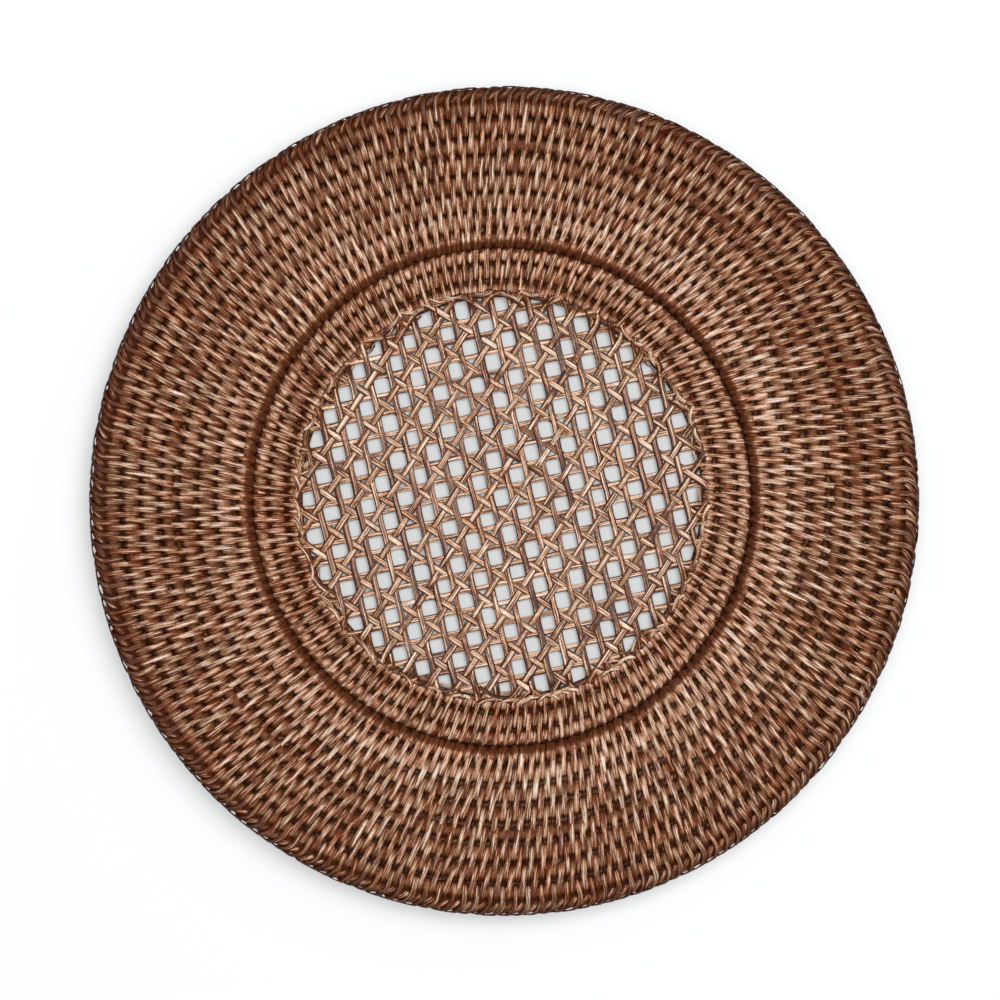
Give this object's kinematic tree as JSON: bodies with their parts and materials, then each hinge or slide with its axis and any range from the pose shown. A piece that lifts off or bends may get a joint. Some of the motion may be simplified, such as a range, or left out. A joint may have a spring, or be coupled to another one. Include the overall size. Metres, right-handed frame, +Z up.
{
  "type": "charger plate",
  "caption": "Round shallow charger plate of coiled, bound rattan hoops with an open cane net in the well, a raised sloping rim and a braided edge; it lies under a dinner plate.",
  "frame": {"origin": "on the table, under the centre of the braided edge", "axes": "+Z up out of the well, +X to the right and +Y away in the picture's view from above"},
  "size_m": [0.33, 0.33, 0.022],
  "materials": {
    "rattan_rod": "stained rattan rod, satin",
    "rattan_peel": "stained split rattan peel, low gloss",
    "cane": "stained cane strand, low gloss",
    "braided_peel": "stained split rattan peel, braided"
  },
  "bodies": {
    "root": {"well_hoop_1": "rattan_rod", "well_hoop_2": "rattan_rod", "well_hoop_3": "rattan_rod", "rim_hoop_1": "rattan_rod", "rim_hoop_2": "rattan_rod", "rim_hoop_3": "rattan_rod", "rim_hoop_4": "rattan_rod", "rim_hoop_5": "rattan_rod", "rim_hoop_6": "rattan_rod", "rim_hoop_7": "rattan_rod", "rim_hoop_8": "rattan_rod", "well_binding_1": "rattan_peel", "well_binding_2": "rattan_peel", "well_binding_3": "rattan_peel", "rim_binding_1": "rattan_peel", "rim_binding_2": "rattan_peel", "rim_binding_3": "rattan_peel", "rim_binding_4": "rattan_peel", "rim_binding_5": "rattan_peel", "rim_binding_6": "rattan_peel", "rim_binding_7": "rattan_peel", "rim_binding_8": "rattan_peel", "cane_crossways": "cane", "cane_uprights": "cane", "cane_rising_diagonals": "cane", "cane_falling_diagonals": "cane", "edge_braid": "braided_peel"}
  },
  "joints": []
}
